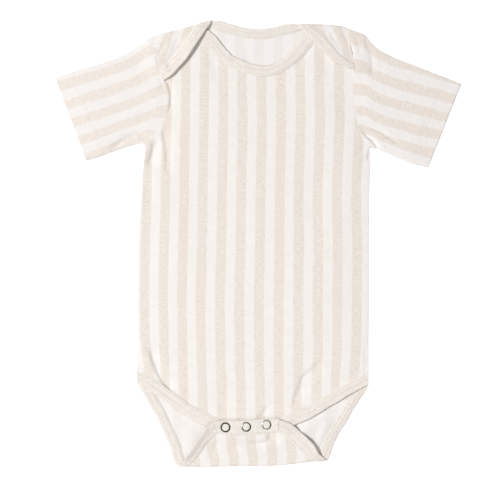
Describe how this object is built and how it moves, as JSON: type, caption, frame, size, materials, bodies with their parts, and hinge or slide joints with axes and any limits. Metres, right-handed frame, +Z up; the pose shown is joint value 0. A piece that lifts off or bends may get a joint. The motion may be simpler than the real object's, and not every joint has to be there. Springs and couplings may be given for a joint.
{
  "type": "baby bodysuit laid flat",
  "caption": "Short-sleeved baby bodysuit with lap shoulders, bound neck and leg edges and a snapped crotch flap, laid flat on its back.",
  "frame": {"origin": "on the surface that the garment lies on, below the middle of its outline", "axes": "+Z up from the surface, +Y from the crotch to the neck, +X to the sleeve on the right as seen from above"},
  "size_m": [0.4064, 0.447, 0.0089],
  "materials": {
    "jersey_striped": "soft matt cotton jersey, plain off-white and melange beige stripes of equal width",
    "rib_binding": "soft matt melange beige rib, folded",
    "snap_metal": "satin nickel"
  },
  "bodies": {
    "root": {"front_panel": "jersey_striped", "back_panel": "jersey_striped", "sleeve_left": "jersey_striped", "sleeve_right": "jersey_striped", "neck_binding_front": "rib_binding", "neck_binding_back": "rib_binding", "leg_binding_front_left": "rib_binding", "leg_binding_front_right": "rib_binding", "leg_binding_back_left": "rib_binding", "leg_binding_back_right": "rib_binding", "crotch_band_front": "rib_binding", "crotch_band_back": "rib_binding", "snap_ring_1": "snap_metal", "snap_ring_2": "snap_metal", "snap_ring_3": "snap_metal", "snap_core_1": "snap_metal", "snap_core_2": "snap_metal", "snap_core_3": "snap_metal", "snap_inner_1": "snap_metal", "snap_inner_2": "snap_metal", "snap_inner_3": "snap_metal"}
  },
  "joints": []
}
